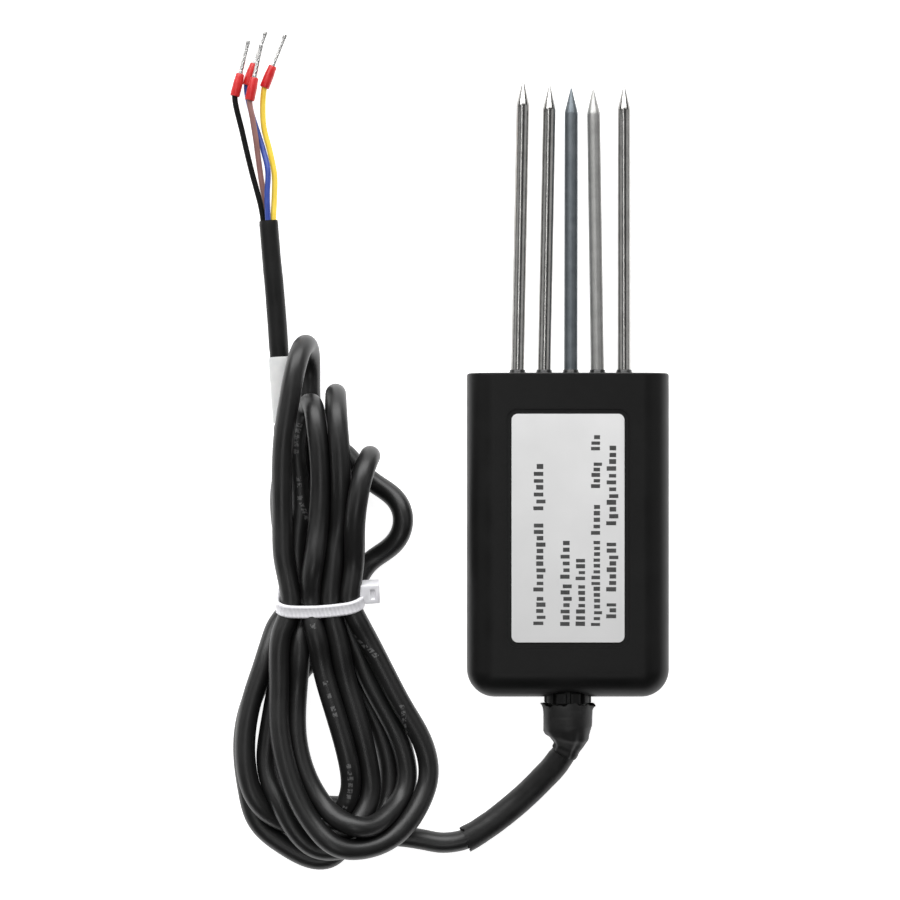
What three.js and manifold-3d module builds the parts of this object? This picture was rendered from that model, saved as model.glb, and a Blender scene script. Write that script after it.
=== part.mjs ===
// Soil moisture sensor: five probes potted into a flat plastic housing, with a circuit board inside,
// and a signal cable tied up in a hank, ending in four wires with bootlace ferrules.
// Millimetres. The sensor lies on its back at Z = 0. +Y points to the probe tips, +Z out of the label.
import * as THREE from 'three';
import { mergeVertices } from 'three/addons/utils/BufferGeometryUtils.js';
import Module from 'manifold-3d';

const wasm = await Module();
wasm.setup();

// ---- driving dimensions ----
const GAP = 0.3; // clearance kept between touching pieces
const HOUSING = { width: 45, length: 72, depth: 15, round: 6.2, wall: 1.8, y0: -64.25 };
const RECESS = { depth: 0.35, margin: 1.1, corner: 2.4 };
const LABEL = { width: 24.9, length: 50.4, thick: 0.18, corner: 1.4, x: -0.25, y: -26.55, lift: 0.05 };
const PROBE = {
  radius: 1.5, pitch: 5.95, x: 0.7, cone: 5.5, tipRadius: 0.12, embed: 19, chamfer: 0.2, necking: 0.12,
};
// The resin creeps up each probe: the mound's radius where it leaves the face, its height and its top radius.
const MENISCUS = { base: 2.75, middle: 2.25, top: 1.95, step: 0.35, height: 1.1 };
const SADDLE = { halfBase: 2.5, rim: 1.25, fillet: 0.25, length: 6, start: 3, foot: 0.02 };
const PROBES = [
  { name: 'probe_1_steel', length: 65.5, lean: 1.15, kind: 'steel' },
  { name: 'probe_2_steel', length: 64.6, lean: 1.12, kind: 'steel' },
  { name: 'probe_3_electrode', length: 63.75, lean: 0.1, kind: 'darkElectrode' },
  { name: 'probe_4_electrode', length: 63.6, lean: -0.85, kind: 'paleElectrode' },
  { name: 'probe_5_steel', length: 64.5, lean: 0, kind: 'steel' },
];
const BOARD = { width: 37, y0: -50, y1: -2, z0: 4, thick: 1.6 };
const SOLDER_FILM = 0.03; // between the board and each part on it
const POCKET = { width: 38.4, y1: -1, z0: 3.4, z1: 11.6 };
const BUSHING = {
  collar: 5.25, collarOut: 1.4, collarIn: 1, barrel: 4.35, bore: 2.65, tipY: -73.25, tipStep: 0.4,
  tipLength: 0.8, flange: 4.95, flangeY: -59.8, flangeThick: 1, slots: 10, slotWidth: 1.2,
};
const CABLE = { radius: 2.3, sides: 12, innerEndY: -57.5 };
const BOOT = {
  length: 10, inner: 4.7, outer: 5.4, mouth: 4.35, mouthBore: 4.1, mouthLength: 1.2, taper: 3.1,
  taperOuter: 4.9, shoulder: 5.2, shoulderDrop: 2,
};
const LEAD_SLEEVE = { inner: 2.5, outer: 2.9 };
const CONDUCTOR = { radius: 0.65, sides: 8, spread: 1.13 };
const END_SLEEVE = { inner: 1.92, outer: 2.2, y0: -3.1 };
const MARKER = { inner: 2.33, outer: 2.5 };
const FERRULE = {
  collar: 1.12, collarTip: 1.05, bore: 0.85, collarLength: 5.2, wireEnd: 2.2, tube: 0.58, tubeLength: 9.9,
  straight: 0.7, tubeGap: 0.8, tubeTip: 0.3,
};
const WAIST = { x: -55.15, y: -42.4, z: 8, halfWidth: 9, halfHeight: 6.2, corner: 4.2, span: 9 };
const TIE = { width: 2.8, thick: 0.9, clear: 0.4, lift: 0.75, tilt: 16, turn: 3.2 };
const TIE_HEAD = { width: 4.3, depth: 4.7, height: 4.2, x: -44.25, y: -40.8, z: 10.6 };
const HANK = { lowerBottom: 0.02, lowerTop: 13.5, upperBottom: 0.05, upperTop: 21.5, lobeGap: 4 };
// The way left open under the hank for its tail.
const TAIL_CHANNEL = { x0: -68, x1: -60.6, y1: 20, top: 5.4 };

const midZ = HOUSING.depth / 2;
const probeEndY = HOUSING.y0 + HOUSING.length;
const outletY = HOUSING.y0;
const boardTop = BOARD.z0 + BOARD.thick;
const collarEnd = outletY - BUSHING.collarOut;
const collarStart = outletY + BUSHING.collarIn;

// Routes of the stretches that are not coiled, from the housing outwards.
const LEAD_ROUTE = [
  [0, CABLE.innerEndY, 7.5],
  [0, -64, 7.5],
  [0, -70, 7.5],
  [0, -73.6, 7.4],
  [-0.7, -76.4, 7],
  [-2, -78.8, 6.2],
  [-3.7, -81.1, 5.3],
  [-5.8, -83.4, 4.4],
  [-8.1, -85.8, 3.7],
  [-10.5, -88.1, 3.2],
  [-13.2, -90.4, 3.02],
  [-17.2, -93.5, 3.02],
  [-20.7, -95.8, 3],
  [-23, -97, 2.75],
  [-25.3, -97.6, 2.45],
  [-28.3, -97.8, 2.4],
  [-31.9, -97.2, 2.4],
];
const TAIL_ROUTE = [
  [-63.4, -14, 2.4],
  [-63.6, -9, 2.4],
  [-63.75, -3.4, 2.4],
];
const END_SLEEVE_ROUTE = [
  [-63.7, END_SLEEVE.y0, 2.5],
  [-64.25, 4.1, 2.5],
  [-64.7, 11.6, 2.5],
  [-65.25, 20, 2.45],
  [-66, 28.9, 2.35],
  [-66.85, 38, 2.25],
  [-67.2, 42.3, 2.2],
];
// Each wire: its place in the end sleeve, its route to the ferrule, and where the ferrule starts and points.
const WIRES = [
  {
    name: 'black', colour: 0x1d1d1f, side: [-1, 0],
    route: [[-68.9, 45.7, 2.3], [-71.1, 54, 2.5], [-73, 62.1, 2.6]],
    ferrule: [-74.75, 70.35, 2.7], aim: [0.243, 0.97],
  },
  {
    name: 'brown', colour: 0x94706a, side: [0, -1],
    route: [[-68.1, 47.2, 1], [-68.7, 50.5, 1.1], [-69.4, 55.5, 1.6], [-70, 60.5, 2.4], [-70.7, 65.2, 3.1]],
    ferrule: [-71.35, 69.3, 3.5], aim: [0.209, 0.978],
  },
  {
    name: 'blue', colour: 0x2f4a9a, side: [0, 1],
    route: [[-67.4, 48, 3.1], [-67.3, 53.8, 2.5], [-68.4, 58.3, 1.4], [-69.7, 62.4, 0.8], [-71.3, 67.5, 0.8]],
    ferrule: [-72.2, 73, 1.25], aim: [0.34, 0.94],
  },
  {
    name: 'yellow', colour: 0xdcb93f, side: [1, 0],
    route: [[-65.9, 47.5, 1.6], [-65.9, 52.8, 1.3], [-66.9, 58, 1], [-68.4, 64.3, 1]],
    ferrule: [-68.2, 72.5, 1.3], aim: [0.371, 0.928],
  },
];

// ---- materials ----
const looks = {
  housing: [0x1b1b1c, 0.42, 0], resin: [0x161616, 0.5, 0], label: [0xdcdcdd, 0.45, 0.1],
  steel: [0x9a9a98, 0.28, 1], darkElectrode: [0x5f676d, 0.55, 0.7], paleElectrode: [0xa7a8a6, 0.5, 0.7],
  board: [0x1f6b3a, 0.5, 0], chip: [0x202022, 0.55, 0], solder: [0xb9bcc0, 0.35, 1],
  jacket: [0x1c1c1d, 0.45, 0], shrink: [0x232324, 0.6, 0], marker: [0xf1f1ee, 0.55, 0],
  ferruleRed: [0xc62a2c, 0.4, 0], tin: [0xc6c7c8, 0.3, 1], nylon: [0xe6e6ea, 0.4, 0],
};

function material(look) {
  const [color, roughness, metalness] = looks[look];
  return new THREE.MeshStandardMaterial({ color, roughness, metalness });
}

// ---- solids and booleans ----
function toSolid(geometry) {
  const bare = geometry.clone();
  bare.deleteAttribute('normal');
  bare.deleteAttribute('uv');
  const merged = mergeVertices(bare, 1e-4);
  return new wasm.Manifold(new wasm.Mesh({
    numProp: 3,
    vertProperties: new Float32Array(merged.attributes.position.array),
    triVerts: new Uint32Array(merged.index.array),
  }));
}

function toGeometry(solid) {
  const mesh = solid.getMesh();
  const geometry = new THREE.BufferGeometry();
  geometry.setAttribute('position', new THREE.BufferAttribute(mesh.vertProperties, 3));
  geometry.setIndex(new THREE.BufferAttribute(mesh.triVerts, 1));
  geometry.computeVertexNormals();
  return geometry;
}

function cut(geometry, ...tools) {
  const rest = tools.reduce((solid, tool) => solid.subtract(toSolid(tool)), toSolid(geometry));
  return toGeometry(rest);
}

function join(...geometries) {
  const [first, ...others] = geometries.map(toSolid);
  return toGeometry(others.reduce((solid, other) => solid.add(other), first));
}

// ---- basic shapes ----
function roundedRect(width, height, corner, x = 0, y = 0) {
  const [a, b] = [width / 2, height / 2];
  const shape = new THREE.Shape();
  shape.moveTo(x - a + corner, y - b);
  shape.absarc(x + a - corner, y - b + corner, corner, -Math.PI / 2, 0);
  shape.absarc(x + a - corner, y + b - corner, corner, 0, Math.PI / 2);
  shape.absarc(x - a + corner, y + b - corner, corner, Math.PI / 2, Math.PI);
  shape.absarc(x - a + corner, y - b + corner, corner, Math.PI, 1.5 * Math.PI);
  return shape;
}

function slab(shape, z0, z1, curveSegments = 5) {
  const geometry = new THREE.ExtrudeGeometry(shape, { depth: z1 - z0, bevelEnabled: false, curveSegments });
  return geometry.translate(0, 0, z0);
}

// A prism along Y whose section is drawn in X and Z.
function bar(section, y0, y1, curveSegments = 5) {
  return slab(section, 0, y1 - y0, curveSegments).rotateX(Math.PI / 2).translate(0, y1, 0);
}

function block(x0, x1, y0, y1, z0, z1) {
  const geometry = new THREE.BoxGeometry(x1 - x0, y1 - y0, z1 - z0);
  return geometry.translate((x0 + x1) / 2, (y0 + y1) / 2, (z0 + z1) / 2);
}

// A solid of revolution about Y through the profile's [radius, y] points.
function turned(profile, segments = 24) {
  return new THREE.LatheGeometry(profile.map(([r, y]) => new THREE.Vector2(r, y)), segments);
}

function alongCurve(points, steps, outer, sides, inner = 0) {
  const path = new THREE.CatmullRomCurve3(points.map((p) => new THREE.Vector3(...p)), false, 'centripetal');
  const section = polygon(outer, sides);
  if (inner) section.holes.push(polygon(inner, sides));
  return new THREE.ExtrudeGeometry(section, { steps, extrudePath: path, bevelEnabled: false });
}

function polygon(radius, sides) {
  const corner = (i) => {
    const angle = (2 * Math.PI * i) / sides;
    return new THREE.Vector2(radius * Math.cos(angle), radius * Math.sin(angle));
  };
  return new THREE.Shape(Array.from({ length: sides }, (_, i) => corner(i)));
}

const model = new THREE.Group();

function add(name, geometry, look, parent = model) {
  const mesh = new THREE.Mesh(geometry, typeof look === 'string' ? material(look) : look);
  mesh.name = name;
  parent.add(mesh);
  return mesh;
}

// ---- housing, potting and label ----
// The housing's rounded form, set in by inset on every side and cut square at endY.
function housingForm(inset, endY, segments = 4) {
  const { width, length, depth, y0 } = HOUSING;
  const round = HOUSING.round - inset;
  const spare = 20;
  const long = length + spare - inset;
  const plan = roundedRect(width - 2 * inset, long, round + 0.3, 0, y0 + inset + long / 2);
  const geometry = new THREE.ExtrudeGeometry(plan, {
    depth: depth - 2 * HOUSING.round, bevelEnabled: true, bevelThickness: round, bevelSize: round,
    bevelOffset: -round, bevelSegments: segments, curveSegments: segments,
  });
  geometry.translate(0, 0, HOUSING.round);
  return cut(geometry, block(-width, width, endY, probeEndY + spare + 5, -5, depth + 5));
}

function housingShell() {
  const { depth, wall, y0 } = HOUSING;
  const recess = slab(roundedRect(
    LABEL.width + 2 * RECESS.margin, LABEL.length + 2 * RECESS.margin, RECESS.corner, LABEL.x, LABEL.y,
  ), depth - RECESS.depth, depth + 1);
  const outlet = drill(BUSHING.barrel + GAP, y0 - 3, y0 + 2 * wall);
  const seat = drill(BUSHING.collar + GAP, y0 - 3, collarStart + GAP);
  return cut(housingForm(0, probeEndY, 7), housingForm(wall, probeEndY + 5), recess, outlet, seat);
}

// A round cutting tool along the cable outlet.
function drill(radius, start, end) {
  return turned([[0, start], [radius, start], [radius, end], [0, end]]).translate(0, 0, midZ);
}

function probeX(index) {
  return PROBE.x + (index - 2) * PROBE.pitch;
}

function probeMatrix(index) {
  const turn = new THREE.Matrix4().makeRotationZ(-THREE.MathUtils.degToRad(PROBES[index].lean));
  return turn.setPosition(probeX(index), probeEndY, midZ);
}

function resinFill() {
  const inset = HOUSING.wall + GAP;
  const back = HOUSING.y0 + inset;
  const front = probeEndY - GAP;
  const { base, middle, top, step, height } = MENISCUS;
  const mound = [[0, -step], [base, -step], [base, 0], [middle, step], [top, height], [0, height]];
  const menisci = PROBES.map((_, i) => turned(mound, 16).translate(probeX(i), front, midZ));
  const body = join(housingForm(inset, front), ...menisci);
  const pocket = block(-POCKET.width / 2, POCKET.width / 2, back - 1, POCKET.y1, POCKET.z0, POCKET.z1);
  const bore = PROBE.radius + GAP;
  const [deep, clear] = [-PROBE.embed, 2 * height];
  const holes = PROBES.map((_, i) => (
    turned([[0, deep], [bore, deep], [bore, clear], [0, clear]], 16).applyMatrix4(probeMatrix(i))));
  return cut(body, pocket, ...holes);
}

function labelPlate() {
  const floor = HOUSING.depth - RECESS.depth + LABEL.lift;
  const outline = roundedRect(LABEL.width, LABEL.length, LABEL.corner, LABEL.x, LABEL.y);
  return slab(outline, floor, floor + LABEL.thick);
}

// ---- probes and their joints to the board ----
function probe(length) {
  const { radius, cone, tipRadius, embed, chamfer, necking } = PROBE;
  const shoulder = length - cone;
  return turned([
    [0, -embed], [radius - chamfer, -embed], [radius, chamfer - embed],
    [radius, shoulder], [radius - necking, shoulder + 4 * necking], [tipRadius + 0.07, length - 2 * tipRadius],
    [tipRadius, length - tipRadius / 2], [0, length],
  ], 16);
}

// Solder between the board and the underside of a probe's inner end.
function solderSaddle() {
  const { halfBase, rim, fillet, length, foot } = SADDLE;
  const reach = PROBE.radius + GAP;
  const axisHeight = midZ - boardTop;
  const angle = Math.asin((rim - axisHeight) / reach);
  const shape = new THREE.Shape();
  shape.moveTo(-halfBase, foot);
  shape.lineTo(halfBase, foot);
  shape.lineTo(reach + fillet, rim);
  shape.absarc(0, axisHeight, reach, angle, -Math.PI - angle, true);
  shape.lineTo(-reach - fillet, rim);
  const saddle = new THREE.ExtrudeGeometry(shape, { depth: length, bevelEnabled: false, curveSegments: 8 });
  return saddle.rotateX(Math.PI / 2).translate(0, 0, boardTop);
}

function addProbes() {
  const toMiddle = probeEndY + SADDLE.start + SADDLE.length / 2;
  PROBES.forEach(({ name, length, lean, kind }, i) => {
    add(name, probe(length).applyMatrix4(probeMatrix(i)), kind);
    const innerX = probeX(i) - Math.sin(THREE.MathUtils.degToRad(lean)) * toMiddle;
    add(`probe_joint_${i + 1}`, solderSaddle().translate(innerX, -SADDLE.start, 0), 'solder');
  });
}

// ---- circuit board and its parts ----
function chip(width, length, height) {
  return block(-width / 2, width / 2, -length / 2, length / 2, SOLDER_FILM, height);
}

function can(radius, height) {
  const edge = 0.3;
  const profile = [
    [0, SOLDER_FILM], [radius, SOLDER_FILM], [radius, height - edge], [radius - edge, height], [0, height],
  ];
  return turned(profile, 16).rotateX(Math.PI / 2);
}

const BOARD_PARTS = [
  ['microcontroller', chip(7, 7, 1.2), 'chip', -3, -24],
  ['signal_amplifier', chip(4, 5, 1.5), 'chip', 8.5, -18],
  ['bus_transceiver', chip(4, 5, 1.5), 'chip', -10.5, -39],
  ['voltage_regulator', chip(4, 6.5, 1.6), 'chip', 11.5, -38],
  ['protection_diode', chip(2.6, 4.4, 2.2), 'chip', 4.2, -42],
  ['power_inductor', chip(6, 6, 3), 'chip', 11.5, -29.5],
  ['input_capacitor', can(3.1, 5.2), 'solder', -2.6, -37.5],
  ['output_capacitor', can(2.5, 5.2), 'solder', 4.8, -33],
  ['crystal', chip(3.4, 5, 1.1), 'solder', -11, -25],
  ['temperature_sensor', chip(1.6, 3, 1), 'chip', -12.5, -15],
];

function addElectronics() {
  const { width, y0, y1, z0 } = BOARD;
  add('circuit_board', block(-width / 2, width / 2, y0, y1, z0, boardTop), 'board');
  BOARD_PARTS.forEach(([name, geometry, look, x, y]) => {
    add(name, geometry.translate(x, y, boardTop), look);
  });
}

function addInnerLeads() {
  WIRES.forEach(({ name, colour, side }, i) => {
    const start = [side[0] * CONDUCTOR.spread, CABLE.innerEndY + GAP, midZ + side[1] * CONDUCTOR.spread];
    const padX = (i - 1.5) * 3.4;
    const low = boardTop + CONDUCTOR.radius + 0.15;
    const route = [start, [start[0], start[1] + 2.2, start[2]],
      [padX * 0.7, -51.2, low + (start[2] - low) * 0.4], [padX, -48.6, low], [padX, -46.4, low]];
    const look = new THREE.MeshStandardMaterial({ color: colour, roughness: 0.5, metalness: 0 });
    add(`inner_lead_${name}`, alongCurve(route, 14, CONDUCTOR.radius, CONDUCTOR.sides), look);
  });
}

// ---- cable outlet ----
function bushing() {
  const { collar, barrel, bore, tipY, tipStep, tipLength, flange, flangeY, flangeThick } = BUSHING;
  const { slots, slotWidth } = BUSHING;
  const profile = [
    [bore, tipY], [barrel - tipStep, tipY], [barrel, tipY + tipLength], [barrel, collarEnd],
    [collar, collarEnd], [collar, collarStart], [barrel, collarStart], [barrel, flangeY],
    [flange, flangeY], [flange, flangeY + flangeThick], [bore, flangeY + flangeThick], [bore, tipY],
  ];
  const body = turned(profile, 30).translate(0, 0, midZ);
  const notches = Array.from({ length: slots }, (_, i) => {
    const half = slotWidth / 2;
    const notch = block(-half, half, collarEnd - 1, collarStart + 1, barrel + GAP / 2, collar + 1);
    return notch.rotateY((2 * Math.PI * (i + 0.5)) / slots).translate(0, 0, midZ);
  });
  return cut(body, ...notches);
}

function flangeRoom() {
  const { flange, flangeY, flangeThick } = BUSHING;
  const half = flange + GAP;
  return block(-half, half, outletY, flangeY + flangeThick + GAP, -1, HOUSING.depth + 1);
}

// The heat-shrink boot grips the barrel behind the collar and narrows to an open mouth round the cable.
function bootSleeve() {
  const { length, inner, outer, mouth, mouthBore, mouthLength } = BOOT;
  const { taper, taperOuter, shoulder, shoulderDrop } = BOOT;
  const top = collarEnd - GAP;
  const end = top - length;
  const neck = end + mouthLength;
  const profile = [
    [mouthBore, end], [mouth, end], [mouth + 0.2, neck], [taperOuter, neck + taper],
    [shoulder, top - shoulderDrop], [outer, top], [inner, top], [inner, neck + taper],
    [mouthBore, neck], [mouthBore, end],
  ];
  return turned(profile, 24).translate(0, 0, midZ);
}

// The sleeve starts in the boot's mouth and ends where the route reaches the table.
function leadSleeve() {
  const { inner, outer } = LEAD_SLEEVE;
  return alongCurve(LEAD_ROUTE.slice(4, 13), 9, outer, CABLE.sides, inner);
}

// The black sleeve that ends the jacket, and the white marker sleeve over its first stretch.
function endSleeve() {
  return alongCurve(END_SLEEVE_ROUTE, 8, END_SLEEVE.outer, CABLE.sides, END_SLEEVE.inner);
}

function markerSleeve() {
  return alongCurve(END_SLEEVE_ROUTE.slice(0, 3), 3, MARKER.outer, CABLE.sides, MARKER.inner);
}

// ---- tied hank ----
function outline(points) {
  const shape = new THREE.Shape();
  const [first, ...others] = [...points, points[0]].map(([x, y]) => new THREE.Vector2(x, y));
  shape.moveTo(first.x, first.y);
  shape.splineThru(others);
  return shape;
}

const LOWER_LOBE = [
  [-64, -45.5], [-72, -62.9], [-74.3, -75.2], [-71, -88.6], [-65.8, -96.4], [-54.2, -102.6],
  [-43.7, -101], [-37.5, -99.8], [-33.7, -98.9], [-33.1, -94.3], [-28.7, -84.1], [-30.1, -74.1],
  [-37.9, -58.5], [-46.3, -45.5],
];
const UPPER_LOBE = [
  [-46.6, -41], [-42.8, -36.1], [-37.4, -31.7], [-35, -23.9], [-39.2, -16], [-42.8, -9.3],
  [-49, -4.9], [-49.3, 3.6], [-53.6, 5.6], [-53.9, 11.5], [-57.7, 16.8], [-62.4, 11.5],
  [-65.1, 1.8], [-66, -7.1], [-65.4, -25], [-63.7, -41],
];

function waistSolid() {
  const { x, y, z, halfWidth, halfHeight, corner, span } = WAIST;
  const section = roundedRect(2 * halfWidth, 2 * halfHeight, corner, x, z);
  return bar(section, y - span / 2, y + span / 2);
}

function hankSolid() {
  const { lowerBottom, lowerTop, upperBottom, upperTop, lobeGap } = HANK;
  const lower = slab(outline(LOWER_LOBE), lowerBottom, lowerTop, 3);
  const upper = slab(outline(UPPER_LOBE), upperBottom, upperTop, 3);
  const underTie = block(-80, -20, WAIST.y - lobeGap, WAIST.y + lobeGap, -1, upperTop + 1);
  const lobes = cut(join(lower, upper), underTie);
  const { x0, x1, y1, top } = TAIL_CHANNEL;
  const tailChannel = block(x0, x1, TAIL_ROUTE[0][1] - GAP, y1, -1, top);
  const headRoom = headBlock(GAP).applyMatrix4(tieMatrix);
  return cut(join(lobes, waistSolid()), tailChannel, headRoom);
}

// ---- cable tie, in its own tilted plane ----
const tieMatrix = new THREE.Matrix4()
  .makeRotationFromEuler(new THREE.Euler(
    THREE.MathUtils.degToRad(TIE.tilt), 0, THREE.MathUtils.degToRad(TIE.turn), 'ZXY'))
  .setPosition(WAIST.x, WAIST.y, WAIST.z);

function band(grow) {
  const inside = [2 * (WAIST.halfWidth + TIE.clear - grow), 2 * (WAIST.halfHeight + TIE.lift - grow)];
  const wall = TIE.thick + 2 * grow;
  const corner = WAIST.corner + GAP;
  const section = roundedRect(inside[0] + 2 * wall, inside[1] + 2 * wall, corner + wall);
  section.holes.push(roundedRect(inside[0], inside[1], corner));
  const width = TIE.width + 2 * grow;
  return bar(section, -width / 2, width / 2);
}

function headBlock(grow) {
  const { width, depth, height, x, y, z } = TIE_HEAD;
  const at = new THREE.Vector3(x, y, z).applyMatrix4(tieMatrix.clone().invert());
  return block(
    at.x - depth / 2 - grow, at.x + depth / 2 + grow, at.y - width / 2 - grow, at.y + width / 2 + grow,
    at.z - height / 2 - grow, at.z + height / 2 + grow);
}

// ---- wires and ferrules ----
function headingOf({ aim }) {
  return new THREE.Vector3(aim[0], aim[1], 0).normalize();
}

// From inside the end sleeve, out of its mouth, along the free route and straight into the ferrule.
function wireRoute(wire) {
  const [mouthX, mouthY, mouthZ] = END_SLEEVE_ROUTE.at(-1);
  const [x, z] = [mouthX + wire.side[0] * CONDUCTOR.spread, mouthZ + wire.side[1] * CONDUCTOR.spread];
  const entry = new THREE.Vector3(...wire.ferrule);
  const end = entry.clone().addScaledVector(headingOf(wire), FERRULE.wireEnd);
  return [[x + 0.75, mouthY - 8, z + 0.05], [x + 0.35, mouthY - 4, z], [x, mouthY, z], ...wire.route,
    entry.toArray(), end.toArray()];
}

// Places a piece modelled along +Y so that it starts at the ferrule's wire side.
function ferruleMatrix(wire) {
  const turn = new THREE.Quaternion().setFromUnitVectors(new THREE.Vector3(0, 1, 0), headingOf(wire));
  return new THREE.Matrix4().compose(new THREE.Vector3(...wire.ferrule), turn, new THREE.Vector3(1, 1, 1));
}

function ferruleCollar() {
  const { collar, collarTip, bore, collarLength, straight } = FERRULE;
  return turned([
    [bore, 0], [collar, 0], [collar, collarLength * straight], [collarTip, collarLength],
    [bore, collarLength], [bore, 0],
  ], 16);
}

function ferruleTube() {
  const { tube, tubeLength, wireEnd, tubeGap, tubeTip } = FERRULE;
  const start = wireEnd + tubeGap;
  const tip = start + tubeLength;
  return turned([[0, start], [tube, start], [tube, tip - tubeTip], [tube - tubeTip / 2, tip], [0, tip]], 12);
}

function addWires() {
  WIRES.forEach((wire) => {
    const look = new THREE.MeshStandardMaterial({ color: wire.colour, roughness: 0.45, metalness: 0 });
    add(`wire_${wire.name}`, alongCurve(wireRoute(wire), 14, CONDUCTOR.radius, CONDUCTOR.sides), look);
    const matrix = ferruleMatrix(wire);
    add(`ferrule_collar_${wire.name}`, ferruleCollar().applyMatrix4(matrix), 'ferruleRed');
    add(`ferrule_tube_${wire.name}`, ferruleTube().applyMatrix4(matrix), 'tin');
  });
}

// ---- assembly ----
add('housing_shell', housingShell(), 'housing');
add('resin_fill', cut(resinFill(), flangeRoom()), 'resin');
add('label', labelPlate(), 'label');
addProbes();
addElectronics();
addInnerLeads();
add('cable_bushing', bushing(), 'housing');
add('boot_sleeve', bootSleeve(), 'shrink');
add('lead_sleeve', leadSleeve(), 'shrink');
add('cable_lead', alongCurve(LEAD_ROUTE, 20, CABLE.radius, CABLE.sides), 'jacket');
add('cable_hank', hankSolid(), 'jacket');
add('cable_tail', alongCurve(TAIL_ROUTE, 3, CABLE.radius, CABLE.sides), 'jacket');
add('end_sleeve', endSleeve(), 'shrink');
add('marker_sleeve', markerSleeve(), 'marker');
addWires();
add('tie_strap', band(0).applyMatrix4(tieMatrix), 'nylon');
add('tie_head', cut(headBlock(0), band(0.25)).applyMatrix4(tieMatrix), 'nylon');

export default model;
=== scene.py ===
"""Looks of the soil moisture sensor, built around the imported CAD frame.
Shapes are worked out in millimetres in the CAD frame and written in metres."""
import math
import random

import bmesh
import bpy
import numpy as np
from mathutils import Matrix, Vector


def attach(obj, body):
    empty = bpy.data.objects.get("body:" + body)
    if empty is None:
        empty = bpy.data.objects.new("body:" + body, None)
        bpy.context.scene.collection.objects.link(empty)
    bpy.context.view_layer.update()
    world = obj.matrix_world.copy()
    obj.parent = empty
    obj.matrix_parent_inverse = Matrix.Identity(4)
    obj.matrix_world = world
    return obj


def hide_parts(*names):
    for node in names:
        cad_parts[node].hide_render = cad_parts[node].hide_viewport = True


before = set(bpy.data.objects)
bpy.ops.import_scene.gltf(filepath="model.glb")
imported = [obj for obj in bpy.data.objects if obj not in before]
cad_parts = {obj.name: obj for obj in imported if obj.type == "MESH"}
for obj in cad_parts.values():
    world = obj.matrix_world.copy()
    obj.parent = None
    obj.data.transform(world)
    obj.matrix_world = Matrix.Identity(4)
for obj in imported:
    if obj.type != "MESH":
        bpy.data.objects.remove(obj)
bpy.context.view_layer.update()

MM = 0.001
ROOT = "root"
scene = bpy.context.scene

# ---- driving dimensions, in millimetres, as in the CAD where it has the same ones ----
HOUSING = {"width": 45, "depth": 15, "round": 6.2, "wall": 1.8, "y0": -64.25, "y1": 7.75}
MID_Z = HOUSING["depth"] / 2
RECESS = {"depth": 0.35, "margin": 1.1, "corner": 2.4}
LABEL = {"width": 24.9, "length": 50.4, "thick": 0.18, "corner": 1.4, "x": -0.25, "y": -26.55, "lift": 0.05}
LABEL_TOP = HOUSING["depth"] - RECESS["depth"] + LABEL["lift"] + LABEL["thick"]
PROBE = {"radius": 1.5, "pitch": 5.95, "x": 0.7, "cone": 5.5, "tip": 0.12, "embed": 19}
# Each probe: its name, its length past the housing, its lean in degrees and its look.
PROBES = [
    ("probe_1_steel", 65.5, 1.15, "probe_steel"),
    ("probe_2_steel", 64.6, 1.12, "probe_steel"),
    ("probe_3_electrode", 63.75, 0.1, "electrode_dark"),
    ("probe_4_electrode", 63.6, -0.85, "electrode_pale"),
    ("probe_5_steel", 64.5, 0.0, "probe_steel"),
]
BUSHING = {"collar": 5.25, "collar_end": -65.65, "collar_start": -63.25, "barrel": 4.35, "bore": 2.65,
           "tip_y": -73.25, "flange": 4.95, "flange_y": -59.8, "slots": 10}
CABLE = {"radius": 2.3, "sides": 22, "step": 1.6}
WIRE = {"radius": 0.65, "sides": 14, "step": 0.6, "spread": 1.13}
END_SLEEVE = {"inner": 1.92, "outer": 2.17, "grip": 0.08}
MARKER = {"inner": 2.24, "outer": 2.45}
# The boot's radii, on its left and its right as seen from above, and the depth of its creases are given at
# distances from its rim.
BOOT = {
    "start": 8.45, "length": 11, "wall": 0.42, "bore": 2.34,
    "left": [(0, 5.35), (0.5, 5.4), (2, 5.42), (5.9, 5.4), (6.8, 5.05), (8, 3.9), (9.4, 2.8), (11, 2.7)],
    "right": [(0, 5.35), (0.5, 5.4), (2, 5.5), (5.1, 5.5), (7.5, 4.6), (9.6, 3.3), (11, 2.85)],
    "creases": [(0, 0), (4.5, 0), (7.5, 0.16), (9, 0.16), (11, 0.08)],
}
LEAD_SLEEVE = {"start": 19.5, "end": 49.6, "outer": 2.88, "inner": 2.36}
FERRULE = {"collar": 1.1, "tip": 0.98, "bore": 0.78, "length": 5.2, "wire_end": 2.2, "tube": 0.56,
           "tube_length": 9.9}
WAIST = {"at": (-55.15, -42.4, 8), "half_x": 8.95, "half_z": 6.5, "corner": 2.8, "tilt": 16, "turn": 3.2}
TIE = {"width": 2.8, "thick": 0.9, "bow": 0.7}
TIE_HEAD = {"at": (-44.25, -40.8, 10.6), "size": (4.7, 4.3, 4.2), "bevel": 0.45}

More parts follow.
